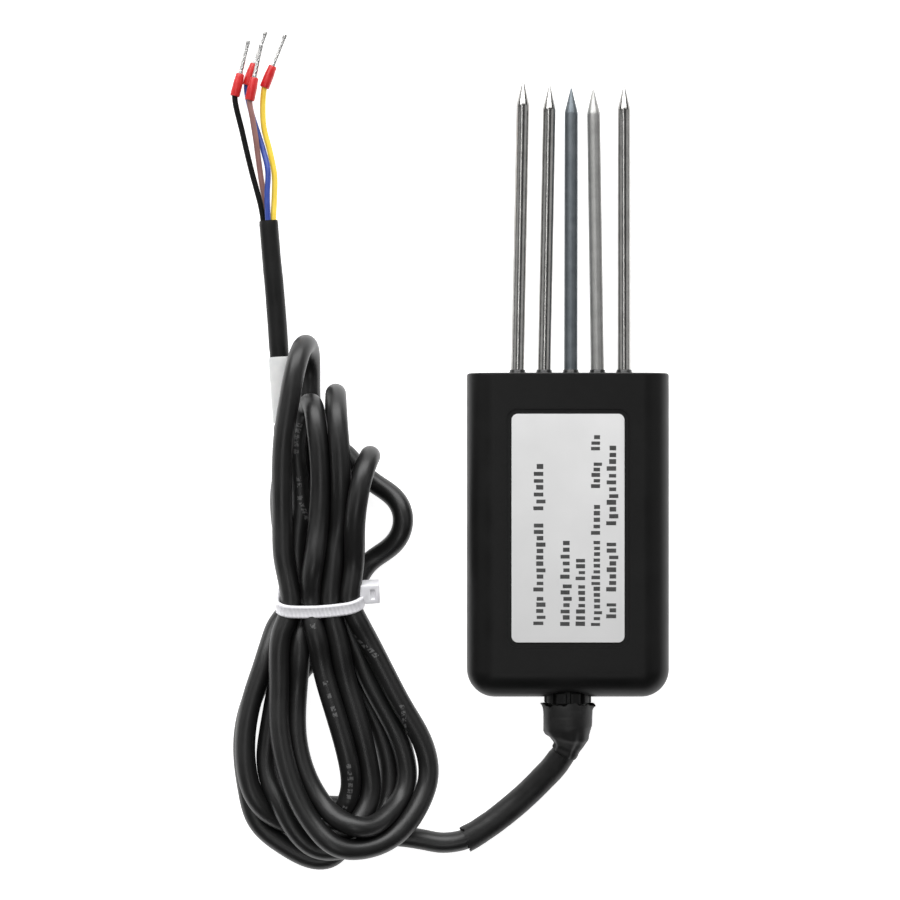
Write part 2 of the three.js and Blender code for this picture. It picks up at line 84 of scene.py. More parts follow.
# ---- routes, in millimetres, as in the CAD ----
LEAD_ROUTE = [
    (0, -57.5, 7.5), (0, -64, 7.5), (0, -70, 7.5), (0, -73.6, 7.4), (-0.7, -76.4, 7), (-2, -78.8, 6.2),
    (-3.7, -81.1, 5.3), (-5.8, -83.4, 4.4), (-8.1, -85.8, 3.7), (-10.5, -88.1, 3.2), (-13.2, -90.4, 3.02),
    (-17.2, -93.5, 3.02), (-20.7, -95.8, 3), (-23, -97, 2.75), (-25.3, -97.6, 2.45), (-28.3, -97.8, 2.4),
    (-31.9, -97.2, 2.4),
]
TAIL_ROUTE = [(-63.4, -14, 2.4), (-63.6, -9, 2.4), (-63.75, -3.4, 2.4)]
END_SLEEVE_ROUTE = [
    (-63.7, -3.1, 2.5), (-64.25, 4.1, 2.5), (-64.7, 11.6, 2.5), (-65.25, 20, 2.45), (-66, 28.9, 2.35),
    (-66.85, 38, 2.25), (-67.2, 42.3, 2.2),
]
# Each wire: its colour, its place in the end sleeve, its route, where its ferrule starts and which way the
# ferrule points.
WIRES = [
    ("black", (-1, 0), [(-68.9, 45.7, 2.3), (-71.1, 54, 2.5), (-73, 62.1, 2.6)],
     (-74.75, 70.35, 2.7), (0.243, 0.97)),
    ("brown", (0, -1), [(-68.1, 47.2, 1), (-68.7, 50.5, 1.1), (-69.4, 55.5, 1.6), (-70, 60.5, 2.4),
                        (-70.7, 65.2, 3.1)], (-71.35, 69.3, 3.5), (0.209, 0.978)),
    ("blue", (0, 1), [(-67.4, 48, 3.1), (-67.3, 53.8, 2.5), (-68.4, 58.3, 1.4), (-69.7, 62.4, 0.8),
                      (-71.3, 67.5, 0.8)], (-72.2, 73, 1.25), (0.34, 0.94)),
    ("yellow", (1, 0), [(-65.9, 47.5, 1.6), (-65.9, 52.8, 1.3), (-66.9, 58, 1), (-68.4, 64.3, 1)],
     (-68.2, 72.5, 1.3), (0.371, 0.928)),
]

# The hank: the cable comes in under it, then makes five turns through the tie. A slot is a strand's place
# in the tie: four on top, three in the middle, four below. A row has its letter, Y, Z and each X.
SLOT_ROWS = [
    ("T", -43.45, 12, (-61.4, -57.05, -52.75, -48.5)),
    ("M", -43.7, 8, (-59.5, -55.15, -50.85)),
    ("B", -43.95, 4, (-62, -57.5, -53.2, -48.95)),
]
SLOTS = {f"{row}{i + 1}": (x, y, z) for row, y, z, places in SLOT_ROWS for i, x in enumerate(places)}
HANK_START = [
    (-35.5, -96.3, 2.5), (-39.5, -95.5, 2.5), (-44.5, -95, 2.5), (-49.5, -94, 2.5), (-55, -91.5, 2.5),
    (-59.5, -86.5, 2.5), (-62.5, -80, 2.5), (-63, -72, 2.5), (-62, -63, 2.5), (-58.5, -54, 3),
]
# Each turn: the slot it goes up through, the points of its upper loop, the slot it comes down through, and
# the points of its lower loop.
HANK_TURNS = [
    ("B4", [
        (-48.8, -39.5, 4), (-47, -36.4, 4.2), (-43.6, -34.1, 4.8), (-40.5, -31.8, 5.6), (-38, -29, 6.4),
        (-36.9, -25.6, 7), (-37.3, -22.3, 6.8), (-38.8, -20, 6), (-43.5, -16.8, 4), (-46.8, -14.6, 3),
        (-49.4, -11.8, 2.6), (-51.5, -9.5, 2.4), (-56.7, -9.7, 2.4), (-60.4, -14.6, 2.4),
        (-60.7, -23.3, 2.6), (-57.6, -33.1, 4.5),
    ], "M3", [
        (-49.7, -47.7, 8), (-47.9, -54, 8), (-43.4, -62.9, 8), (-39.2, -70.5, 7.5), (-36.9, -76.9, 6.5),
        (-36.2, -82.8, 6), (-36.7, -87.1, 6), (-38, -90.6, 7.5), (-41.8, -93.4, 9.5), (-46.9, -93.9, 11),
        (-51.9, -91.4, 11.5), (-56.3, -86.2, 11.5), (-59.6, -79, 11), (-60.9, -71, 10.5),
        (-60.3, -62.7, 9.5), (-60, -52.8, 9),
    ]),
    ("M1", [
        (-58.6, -36, 9.5), (-58.9, -28, 11), (-59.6, -20, 11.5), (-59.7, -12, 11), (-59.4, -5, 9.5),
        (-58.9, -1.6, 9.5), (-58.1, 0.6, 11), (-57, 1.2, 14), (-56.2, -0.6, 16.8), (-55.7, -3.6, 18.6),
        (-55.1, -7.1, 18.8), (-54.5, -17.2, 17.5), (-55.1, -26.9, 15.5), (-56.2, -35.8, 13.5),
    ], "T2", [
        (-56.6, -50.5, 12.5), (-53.7, -60.2, 12.5), (-52.1, -65.6, 12.5), (-51, -69.5, 12),
        (-49.3, -75.4, 11.5), (-47.8, -82.2, 10), (-47.4, -87.3, 8.5), (-48.4, -92.2, 6), (-49.6, -97, 3.5),
        (-52.6, -101.5, 2.4), (-58.9, -101, 2.4), (-64.3, -97.4, 2.4), (-70.2, -89.5, 2.4),
        (-72.7, -80, 2.4), (-72.7, -73, 2.4), (-71.2, -66, 2.4), (-67.8, -59, 2.5), (-63, -50, 3),
    ]),
    ("B3", [
        (-51, -34.1, 3.2), (-48.7, -22.8, 6), (-46.2, -14.9, 6.5), (-44.7, -12.2, 9), (-44.2, -11.1, 13),
        (-44.3, -11.7, 17), (-45.3, -14.4, 19.3), (-46.9, -20.3, 18.8), (-48, -29.1, 16),
        (-48.6, -36.9, 13.5),
    ], "T4", [
        (-47.5, -45.7, 12), (-42.7, -55.2, 11.5), (-39.1, -62.1, 11), (-36.7, -67.1, 10), (-32.9, -73, 9),
        (-31.2, -78.9, 8), (-30.6, -82.5, 8), (-31.3, -85.2, 8), (-33, -87.4, 8.5), (-35.5, -90, 9.5),
        (-37.8, -93.5, 11), (-41.8, -97, 12), (-46.8, -98, 13), (-51.4, -97, 13.5), (-56, -93.1, 14),
        (-60.1, -86.5, 14), (-62.8, -78.4, 14), (-64.4, -70.1, 13.5), (-64.1, -62.3, 12.8),
        (-62.8, -52.4, 11),
    ]),
    ("T1", [
        (-62.3, -35.9, 13), (-63.3, -25.9, 15), (-63.3, -17.2, 16.5), (-62.9, -7.1, 18), (-61.7, 0.5, 19),
        (-60.3, 8.2, 19), (-59.2, 12.6, 17), (-58.3, 14.4, 13), (-57.7, 13.2, 9), (-57.6, 10.5, 5.5),
        (-57.9, 7, 3.5), (-57.8, 2, 2.7), (-57, -9.3, 3), (-56.4, -25.1, 4), (-55.8, -36.2, 6),
    ], "M2", [
        (-52.2, -51.8, 7.5), (-48.2, -59.7, 6.5), (-44.9, -66.5, 5), (-41.4, -73.4, 4), (-39.3, -80.2, 3.5),
        (-38.9, -86.3, 3), (-40.7, -91.3, 2.8), (-44.7, -95.2, 3.5), (-50.9, -97.2, 5.5),
        (-56.6, -96.4, 6.5), (-62.6, -93.4, 7), (-66.6, -88, 7), (-68, -82, 7), (-67.2, -74.1, 6.8),
        (-65.8, -69.6, 6.5), (-65, -65.3, 6.3), (-63.9, -58.6, 6), (-60.4, -50.2, 5),
    ]),
    ("B2", [
        (-55.1, -34.1, 3), (-53.1, -22.8, 2.8), (-52.2, -11.6, 2.6), (-52.2, -3.7, 2.8), (-52.1, 1.4, 5),
        (-51.7, 3.1, 11), (-51.3, 1, 17), (-51, -3.2, 19.3), (-50.5, -9.3, 19.5), (-50.1, -20.3, 18),
        (-51.2, -31.4, 15),
    ], "T3", [
        (-51.1, -53.6, 12), (-49.8, -60.3, 11.5), (-48, -65.9, 11.5), (-46.1, -72.6, 11), (-45, -79.4, 10),
        (-44.4, -86.2, 8.5), (-45.5, -91.5, 6), (-49.4, -96, 4.5), (-55, -96.7, 4.5), (-60.9, -95.2, 5.5),
        (-66.8, -91.4, 6.8), (-70.4, -86.2, 7), (-72.2, -79.6, 7), (-72.3, -73.5, 7), (-71.1, -66.3, 6.8),
        (-69.2, -61.1, 6), (-66, -53.7, 4.5),
    ]),
]
HANK_END = [(-63, -34, 3), (-64, -23, 2.5)]
# Stretches where the cable's line of print marks faces up, as distances from its start. Elsewhere it is
# turned away by a share of a turn, and it eases in and out over a few millimetres.
PRINT_UP = [(368, 394), (445, 495), (667, 681)]
PRINT_AWAY = {"share": 0.42, "ease": 12}


# ---- curves ----
def smooth_curve(points, per=12):
    """A centripetal Catmull-Rom curve through the points, with so many steps to each span."""
    points = np.asarray(points, float)
    padded = np.vstack([2 * points[0] - points[1], points, 2 * points[-1] - points[-2]])
    share = np.linspace(0, 1, per, endpoint=False)[:, None]
    spans = []
    for before, start, end, after in zip(padded, padded[1:], padded[2:], padded[3:]):
        legs = start - before, end - start, after - end
        gaps = [max(np.linalg.norm(leg), 1e-6) ** 0.5 for leg in legs]
        leave = (start - before) / gaps[0] - (end - before) / (gaps[0] + gaps[1]) + (end - start) / gaps[1]
        arrive = (end - start) / gaps[1] - (after - start) / (gaps[1] + gaps[2]) + (after - end) / gaps[2]
        square, cube = share ** 2, share ** 3
        spans.append((2 * cube - 3 * square + 1) * start + (cube - 2 * square + share) * leave * gaps[1]
                     + (3 * square - 2 * cube) * end + (cube - square) * arrive * gaps[1])
    return np.vstack([*spans, points[-1:]])


def lengths_along(path):
    return np.r_[0, np.cumsum(np.linalg.norm(np.diff(path, axis=0), axis=1))]


def points_at(path, stations):
    """The points of a line at these distances from its start."""
    along = lengths_along(path)
    return np.stack([np.interp(stations, along, path[:, axis]) for axis in range(3)], 1)


def resample(path, step):
    """The same line in even steps of about the given length."""
    length = lengths_along(path)[-1]
    return points_at(path, np.linspace(0, length, int(round(length / step)) + 1))


def unit(vectors):
    return vectors / np.linalg.norm(vectors, axis=-1, keepdims=True)


def carried_frames(path):
    """Two unit vectors square to the path at each point, carried along it from up without twist."""
    tangents = unit(np.gradient(path, axis=0))
    side = np.array([0.0, 0.0, 1.0])
    sides = []
    for tangent in tangents:
        side = unit(side - side @ tangent * tangent)
        sides.append(side)
    sides = np.array(sides)
    return sides, np.cross(tangents, sides)


# ---- the cable settles: it keeps its length and thickness, lies on the table and holds to its tie ----
# Each round pulls the cable towards its drawn route, less and less, and lets it sink a little. A slot grips
# the cable near it. After every so many rounds, the points within so many diameters are looked up again.
SETTLE = {"rounds": 600, "pull": 0.04, "last_pull": 0.006, "level_pull": 0.3, "sink": 0.01, "stiff": 0.9,
          "grip": 1.6, "grip_reach": 2.5, "near": 1.5, "look_up": 12, "repeats": 3, "push": 0.3,
          "table_gap": 0.05, "last_smoothings": 2}


def settle(path, held, fixed):
    radius, gap, rounds = CABLE["radius"], 2 * CABLE["radius"], SETTLE["rounds"]
    aim = path.copy()
    step = np.linalg.norm(np.diff(path, axis=0), axis=1).mean()
    hold = fixed.astype(float)
    for point in held:
        away = np.linalg.norm(aim - point, axis=1)
        hold = np.maximum(hold, np.clip(SETTLE["grip"] - away / SETTLE["grip_reach"], 0, 1))
    hold = hold[:, None]
    near = gap * SETTLE["near"]
    first, second = np.triu_indices(len(path), int(np.ceil(near / step)))
    for turn in range(rounds):
        if turn % SETTLE["look_up"] == 0:
            chosen = np.linalg.norm(path[first] - path[second], axis=1) < near
            one, other = first[chosen], second[chosen]
        pull = SETTLE["pull"] * (1 - turn / rounds) + SETTLE["last_pull"]
        path[:, :2] += pull * (aim[:, :2] - path[:, :2])
        path[:, 2] += SETTLE["level_pull"] * pull * (aim[:, 2] - path[:, 2]) - SETTLE["sink"]
        bend = 4 * path[1:-3] + 4 * path[3:-1] - path[:-4] - path[4:] - 6 * path[2:-2]
        path[2:-2] += SETTLE["stiff"] / 16 * bend
        for _ in range(SETTLE["repeats"]):
            keep_length(path, step)
            keep_apart(path, one, other, gap)
            path[:, 2] = np.maximum(path[:, 2], radius + SETTLE["table_gap"])
        path += hold * (aim - path)
    loose = 1 - fixed[1:-1, None].astype(float)
    for _ in range(SETTLE["last_smoothings"]):
        path[1:-1] += 0.25 * loose * (path[:-2] + path[2:] - 2 * path[1:-1])
    return path


def keep_length(path, step):
    """Moves neighbours along the path back to one step from each other."""
    for start in (0, 1):
        a = np.arange(start, len(path) - 1, 2)
        link = path[a + 1] - path[a]
        slack = 0.5 * (1 - step / np.linalg.norm(link, axis=1, keepdims=True)) * link
        path[a] += slack
        path[a + 1] -= slack


def keep_apart(path, one, other, gap):
    """Pushes the pairs of points apart that lie closer than the gap."""
    apart = path[other] - path[one]
    distance = np.linalg.norm(apart, axis=1)
    close = distance < gap
    push = (SETTLE["push"] * (gap - distance[close]) / distance[close])[:, None] * apart[close]
    for axis in range(3):
        path[:, axis] += np.bincount(other[close], push[:, axis], len(path))
        path[:, axis] -= np.bincount(one[close], push[:, axis], len(path))


def cable_path():
    points = [*LEAD_ROUTE, *HANK_START]
    held = []
    for slot_up, upper, slot_down, lower in HANK_TURNS:
        held += [SLOTS[slot_up], SLOTS[slot_down]]
        points += [SLOTS[slot_up], *upper, SLOTS[slot_down], *lower]
    held.append(SLOTS["B1"])
    points += [SLOTS["B1"], *HANK_END, *TAIL_ROUTE]
    path = resample(smooth_curve(points), CABLE["step"])
    along = lengths_along(path)
    lead = lengths_along(smooth_curve(LEAD_ROUTE))[-1]
    tail = lengths_along(smooth_curve(TAIL_ROUTE))[-1]
    fixed = (along < lead) | (along > along[-1] - tail)
    return smooth_curve(settle(path, np.array(held), fixed), 2)


def wire_exit(side):
    """Where a wire leaves the end sleeve."""
    x, y, z = END_SLEEVE_ROUTE[-1]
    return x + side[0] * WIRE["spread"], y, z + side[1] * WIRE["spread"]


def wire_path(side, route, ferrule, aim):
    x, y, z = wire_exit(side)
    aim = unit(np.array([*aim, 0.0]))
    end = tuple(np.array(ferrule) + aim * FERRULE["wire_end"])
    points = [(x + 0.75, y - 8, z + 0.05), (x + 0.35, y - 4, z), (x, y, z), *route, ferrule, end]
    return resample(smooth_curve(points), WIRE["step"])


# ---- meshes ----
def skin(rings, loop=False):
    """Vertices and faces of a skin over rings of points. A loop's last ring joins its first."""
    count, sides = len(rings), len(rings[0])
    faces = []
    for i in range(count if loop else count - 1):
        a, b = i * sides, (i + 1) % count * sides
        faces += [(a + k, a + (k + 1) % sides, b + (k + 1) % sides, b + k) for k in range(sides)]
    if not loop:
        faces.append(tuple(range(sides))[::-1])
        faces.append(tuple(range((count - 1) * sides, count * sides)))
    return np.concatenate(rings), faces


def circle(count):
    return np.arange(count) * 2 * math.pi / count


def spokes(angles, side, other):
    """Unit vectors at these angles from side, towards other."""
    return np.cos(angles)[:, None] * side + np.sin(angles)[:, None] * other


def sweep(path, radii_at, angles):
    """Rings of points round a path. radii_at(i) gives the radii of its ring i at the angles from up."""
    return [point + radii_at(i)[:, None] * spokes(angles, side, other)
            for i, (point, side, other) in enumerate(zip(path, *carried_frames(path)))]


def turned(profile, sides, origin, direction, shape=None):
    """Rings of a turned form: the profile's (radius, distance along the axis) pairs about an axis.
    shape(radius, distance, angles) may give each angle its own radius."""
    axis = unit(np.asarray(direction, float))
    up = np.array([0.0, 0.0, 1.0])
    side = unit(up - up @ axis * axis)
    angles = circle(sides)
    outward = spokes(angles, side, np.cross(axis, side))
    rings = []
    for radius, distance in profile:
        radii = np.full(sides, float(radius)) if shape is None else shape(radius, distance, angles)
        rings.append(np.asarray(origin) + axis * distance + radii[:, None] * outward)
    return rings


def rounded_loop(half_x, half_z, corner, per_corner=8):
    """A rounded rectangle's outline as (x, z) pairs, anticlockwise."""
    corner = max(corner, 0.02)
    a, b = half_x - corner, half_z - corner
    loop = []
    for quarter, (x, z) in enumerate(((a, b), (-a, b), (-a, -b), (a, -b))):
        for k in range(per_corner + 1):
            angle = math.radians(90 * (quarter + k / per_corner))
            loop.append((x + corner * math.cos(angle), z + corner * math.sin(angle)))
    return np.array(loop)


def mesh_object(name, vertices, faces, crease=38, uv=None):
    mesh = bpy.data.meshes.new(name)
    mesh.from_pydata((np.asarray(vertices) * MM).tolist(), [], faces)
    form = bmesh.new()
    form.from_mesh(mesh)
    if uv is not None:
        layer = form.loops.layers.uv.new("along")
        for face, corners in zip(form.faces, uv):
            for loop, corner in zip(face.loops, corners):
                loop[layer].uv = corner
    bmesh.ops.recalc_face_normals(form, faces=form.faces)
    form.to_mesh(mesh)
    form.free()
    piece = bpy.data.objects.new(name, mesh)
    scene.collection.objects.link(piece)
    shade(piece, crease)
    return piece


def shade(piece, crease=38):
    """Smooth shading that stays sharp over edges steeper than crease degrees."""
    form = bmesh.new()
    form.from_mesh(piece.data)
    for face in form.faces:
        face.smooth = True
    for edge in form.edges:
        edge.smooth = edge.calc_face_angle(0) < math.radians(crease)
    form.to_mesh(piece.data)
    form.free()


def finish_piece(piece, look, slot, *nodes):
    piece.data.materials.clear()
    piece.data.materials.append(look)
    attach(piece, ROOT)
    if nodes:
        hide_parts(*nodes)
    return piece


def apply_modifiers(piece):
    graph = bpy.context.evaluated_depsgraph_get()
    mesh = bpy.data.meshes.new_from_object(piece.evaluated_get(graph))
    piece.modifiers.clear()
    piece.data = mesh


def combine(piece, others, operation):
    """Adds the other solids to the piece or cuts them out of it, and removes them."""
    for other in others:
        modifier = piece.modifiers.new("combine", "BOOLEAN")
        modifier.operation = operation
        modifier.solver = "EXACT"
        modifier.object = other
    apply_modifiers(piece)
    for other in others:
        bpy.data.objects.remove(other)


def soften_edges(piece, width, segments=2):
    modifier = piece.modifiers.new("edges", "BEVEL")
    modifier.width = width * MM
    modifier.segments = segments
    modifier.limit_method = "ANGLE"
    modifier.angle_limit = math.radians(35)
    weigh_normals(piece)


def weigh_normals(piece):
    piece.modifiers.new("normals", "WEIGHTED_NORMAL").keep_sharp = True
    apply_modifiers(piece)


def box_corners(low, high):
    return [(x, y, z) for z in (low[2], high[2]) for y in (low[1], high[1]) for x in (low[0], high[0])]


BOX_FACES = [(0, 2, 3, 1), (4, 5, 7, 6), (0, 1, 5, 4), (2, 6, 7, 3), (0, 4, 6, 2), (1, 3, 7, 5)]


def box_solid(name, low, high):
    return mesh_object(name, box_corners(low, high), BOX_FACES)


def slab(name, outline, heights):
    """A flat solid over an outline. heights is a list of (z, inset) from its bottom to its top."""
    rings = []
    for z, inset in heights:
        loop = rounded_loop(outline["half_x"] - inset, outline["half_y"] - inset, outline["corner"] - inset)
        loop += (outline["x"], outline["y"])
        rings.append(np.column_stack([loop, np.full(len(loop), z)]))
    return mesh_object(name, *skin(rings))


# ---- materials ----
def new_look(name, **values):
    look = bpy.data.materials.new(name)
    look.use_nodes = True
    shader = look.node_tree.nodes["Principled BSDF"]
    for socket, value in values.items():
        shader.inputs[socket.replace("_", " ")].default_value = value
    return look, look.node_tree, shader


def grey(value):
    return (value, value, value, 1)


def add_node(tree, kind, **settings):
    node = tree.nodes.new(kind)
    for key, value in settings.items():
        setattr(node, key, value)
    return node


def calc(tree, operation, *values):
    """A math node. Each value is a number or an output socket."""
    node = add_node(tree, "ShaderNodeMath", operation=operation)
    for socket, value in zip(node.inputs, values):
        if isinstance(value, (int, float)):
            socket.default_value = value
        else:
            tree.links.new(value, socket)
    return node.outputs[0]


def noise(tree, size_mm, detail=2, stretch=(1, 1, 1)):
    """Noise in the part's frame with features of about size_mm, stretched along the axes."""
    place = add_node(tree, "ShaderNodeTexCoord")
    mapping = add_node(tree, "ShaderNodeMapping")
    mapping.inputs["Scale"].default_value = [1 / (size_mm * MM * s) for s in stretch]
    tree.links.new(place.outputs["Object"], mapping.inputs["Vector"])
    node = add_node(tree, "ShaderNodeTexNoise")
    node.inputs["Scale"].default_value = 1
    node.inputs["Detail"].default_value = detail
    tree.links.new(mapping.outputs["Vector"], node.inputs["Vector"])
    return node.outputs["Fac"]


def spread(tree, source, low, high):
    """Noise, which stays mostly between 0.3 and 0.7, spread from low to high."""
    node = add_node(tree, "ShaderNodeMapRange")
    for socket, value in zip(("From Min", "From Max", "To Min", "To Max"), (0.3, 0.7, low, high)):
        node.inputs[socket].default_value = value
    tree.links.new(source, node.inputs["Value"])
    return node.outputs["Result"]


def blend_colours(tree, factor, first, second):
    node = add_node(tree, "ShaderNodeMix", data_type="RGBA")
    tree.links.new(factor, node.inputs["Factor"])
    for socket, colour in (("A", first), ("B", second)):
        target = [i for i in node.inputs if i.name == socket and i.type == "RGBA"][0]
        if isinstance(colour, tuple):
            target.default_value = colour
        else:
            tree.links.new(colour, target)
    return [o for o in node.outputs if o.type == "RGBA"][0]


def add_bump(tree, shader, height, depth_mm):
    node = add_node(tree, "ShaderNodeBump")
    node.inputs["Distance"].default_value = depth_mm * MM
    node.inputs["Strength"].default_value = 1
    tree.links.new(height, node.inputs["Height"])
    tree.links.new(node.outputs["Normal"], shader.inputs["Normal"])


def vary(tree, shader, patches, dark, light, gloss, rough):
    """Patches vary the colour from dark to light, and gloss varies the roughness."""
    colour = blend_colours(tree, spread(tree, patches, 0, 1), dark, light)
    tree.links.new(colour, shader.inputs["Base Color"])
    tree.links.new(spread(tree, gloss, *rough), shader.inputs["Roughness"])


def plastic(name, dark, light, rough, grain_mm=0.35, depth_mm=0.012, blotch_mm=9, **values):
    """Moulded plastic: a slight change of tone and gloss over its face, and a fine moulded grain."""
    look, tree, shader = new_look(name, **values)
    blotch = noise(tree, blotch_mm, 3)
    vary(tree, shader, blotch, dark, light, blotch, rough)
    add_bump(tree, shader, noise(tree, grain_mm), depth_mm)
    return look


def metal(name, dark, light, rough, stretch, depth_mm=0.004):
    """Metal with fine marks stretched along one way, and slightly uneven gloss."""
    look, tree, shader = new_look(name, Metallic=1.0)
    marks = noise(tree, 0.12, 2, stretch)
    vary(tree, shader, noise(tree, 2.5, 3), dark, light, marks, rough)
    add_bump(tree, shader, marks, depth_mm)
    return look


def jacket_look():
    """Black cable jacket with a faint line of print marks, too broken up to read, along one side."""
    look, tree, shader = new_look("cable_jacket", Specular_IOR_Level=0.55)

    def op(operation, *values):
        return calc(tree, operation, *values)

    def chance(number):
        node = add_node(tree, "ShaderNodeTexWhiteNoise", noise_dimensions="1D")
        tree.links.new(number, node.inputs["W"])
        return node.outputs["Value"]

    place = add_node(tree, "ShaderNodeUVMap", uv_map="along")
    axes = add_node(tree, "ShaderNodeSeparateXYZ")
    tree.links.new(place.outputs["UV"], axes.inputs["Vector"])
    along, around = axes.outputs["X"], axes.outputs["Y"]
    pitch, word_length = 1.45, 7
    mark = chance(op("FLOOR", op("DIVIDE", along, pitch)))
    word = chance(op("FLOOR", op("DIVIDE", along, pitch * word_length)))
    inside = op("LESS_THAN", op("FRACT", op("DIVIDE", along, pitch)), 0.68)
    height = op("MULTIPLY_ADD", mark, 0.02, 0.028)
    offset = op("ABSOLUTE", op("SUBTRACT", op("FRACT", op("ADD", around, 0.5)), 0.5))
    printed = op("MULTIPLY", inside, op("LESS_THAN", offset, height))
    present = op("MULTIPLY", op("GREATER_THAN", mark, 0.16), op("GREATER_THAN", word, 0.3))
    worn = op("GREATER_THAN", noise(tree, 0.5), 0.46)
    ink = op("MULTIPLY", printed, op("MULTIPLY", present, worn))
    blotch = noise(tree, 6, 3)
    black = blend_colours(tree, spread(tree, blotch, 0, 1), grey(0.0055), grey(0.0085))
    colour = blend_colours(tree, op("MULTIPLY", ink, 0.3), black, grey(0.3))
    tree.links.new(colour, shader.inputs["Base Color"])
    tree.links.new(spread(tree, blotch, 0.36, 0.44), shader.inputs["Roughness"])
    add_bump(tree, shader, noise(tree, 0.5), 0.01)
    return look


looks = {
    "housing": plastic("housing_plastic", grey(0.0045), grey(0.0065), (0.36, 0.44),
                       Specular_IOR_Level=0.19),
    "resin": plastic("potting_resin", grey(0.007), grey(0.012), (0.2, 0.34), 1.4, 0.03, 4),
    "label": plastic("label_film", grey(0.66), grey(0.71), (0.42, 0.5), 0.25, 0.004, 14, Metallic=0.15),
    "ink": plastic("label_ink", grey(0.035), grey(0.06), (0.4, 0.5), 0.2, 0.004, 2),
    "probe_steel": metal("polished_steel", (0.33, 0.325, 0.315, 1), (0.42, 0.415, 0.405, 1),
                         (0.16, 0.24), (6, 0.6, 6)),
    "electrode_dark": metal("dark_electrode", (0.14, 0.16, 0.175, 1), (0.19, 0.21, 0.225, 1),
                            (0.42, 0.52), (2, 2, 2), 0.01),
    "electrode_pale": metal("pale_electrode", (0.36, 0.36, 0.35, 1), (0.44, 0.44, 0.43, 1),
                            (0.4, 0.5), (2, 2, 2), 0.01),
    "board": plastic("circuit_board", (0.012, 0.09, 0.035, 1), (0.02, 0.13, 0.05, 1), (0.35, 0.45),
                     0.6, 0.02, 2),
    "chip": plastic("chip_body", grey(0.012), grey(0.02), (0.45, 0.6), 0.15, 0.01, 2),
    "solder": metal("solder", grey(0.5), grey(0.62), (0.25, 0.4), (3, 3, 3), 0.02),
    "jacket": jacket_look(),
    "shrink": plastic("heat_shrink", grey(0.007), grey(0.011), (0.4, 0.52), 0.6, 0.02, 3,
                      Specular_IOR_Level=0.3),
    "end_shrink": plastic("end_sleeve_black", grey(0.005), grey(0.007), (0.4, 0.5), 0.5, 0.015, 4,
                          Specular_IOR_Level=0.22),
    "marker": plastic("marker_sleeve", (0.64, 0.65, 0.65, 1), (0.73, 0.73, 0.72, 1), (0.4, 0.5),
                      0.5, 0.01, 3),
    "nylon": plastic("nylon", (0.83, 0.82, 0.86, 1), (0.9, 0.9, 0.93, 1), (0.35, 0.45), 0.4, 0.01, 1.5,
                     Subsurface_Weight=0.15, Subsurface_Radius=(1, 1, 1), Subsurface_Scale=0.0006),
    "ferrule": plastic("ferrule_red", (0.54, 0.012, 0.014, 1), (0.66, 0.03, 0.03, 1), (0.28, 0.36),
                       0.5, 0.01, 2),
    "tin": metal("tinned_copper", grey(0.62), (0.74, 0.73, 0.71, 1), (0.2, 0.34), (2, 2, 2), 0.012),
}
WIRE_COLOURS = [
    ("black", grey(0.004), grey(0.006), (0.32, 0.42), {"Specular_IOR_Level": 0.15}),
    ("brown", (0.27, 0.13, 0.12, 1), (0.34, 0.17, 0.15, 1), (0.35, 0.45), {}),
    ("blue", (0.02, 0.05, 0.28, 1), (0.03, 0.07, 0.37, 1), (0.32, 0.42), {}),
    ("yellow", (0.86, 0.6, 0.05, 1), (0.95, 0.7, 0.08, 1), (0.35, 0.45), {}),
]
for name, dark, light, rough, others in WIRE_COLOURS:
    looks[name] = plastic("wire_" + name, dark, light, rough, 0.5, 0.008, 3, **others)


# ---- cords ----
def tube_with_uv(name, path, radius, sides):
    """A round cord's mesh. Its UV map has the distance in millimetres and the share of the way round."""
    along = lengths_along(path)
    upward = up_share(path) + print_turn(along)
    radii = np.full(len(path), radius)
    radii[[0, -1]] *= 0.88
    rings = sweep(path, lambda i: np.full(sides, radii[i]), circle(sides))
    vertices, faces = skin(rings)
    uv = []
    for i in range(len(path) - 1):
        for k in range(sides):
            a, b = k / sides, (k + 1) / sides
            here, there = upward[i], upward[i + 1]
            uv.append(((along[i], a - here), (along[i], b - here),
                       (along[i + 1], b - there), (along[i + 1], a - there)))
    uv += [[(0, 0.5)] * sides] * 2
    return mesh_object(name, vertices, faces, 60, uv)


def up_share(path):
    """Where round the cord, as a share of a turn from its carried frame, its skin faces up."""
    sides, others = carried_frames(path)
    return np.unwrap(np.arctan2(others[:, 2], sides[:, 2])) / (2 * math.pi)


def print_turn(along):
    """How far the line of print is turned away from facing up: none on the PRINT_UP stretches."""
    share, ease = PRINT_AWAY["share"], PRINT_AWAY["ease"]
    away = np.full(len(along), share)
    for start, end in PRINT_UP:
        away -= share * np.clip(np.minimum(along - start + ease, end + ease - along) / ease, 0, 1)
    return away


def build_cable():
    path = cable_path()
    cable = tube_with_uv("signal_cable", path, CABLE["radius"], CABLE["sides"])
    finish_piece(cable, looks["jacket"], "cable_jacket", "cable_lead", "cable_hank", "cable_tail")
    return cable, path


def build_wires():
    """The four conductors, each with its ferrule's collar and crimped tube."""
    for name, side, route, ferrule, aim in WIRES:
        path = wire_path(side, route, ferrule, aim)
        wire = tube_with_uv("conductor_" + name, path, WIRE["radius"], WIRE["sides"])
        finish_piece(wire, looks[name], "wire_" + name, "wire_" + name)
        parts = [ferrule_collar(name, ferrule, aim), ferrule_tube(name, ferrule, aim)]


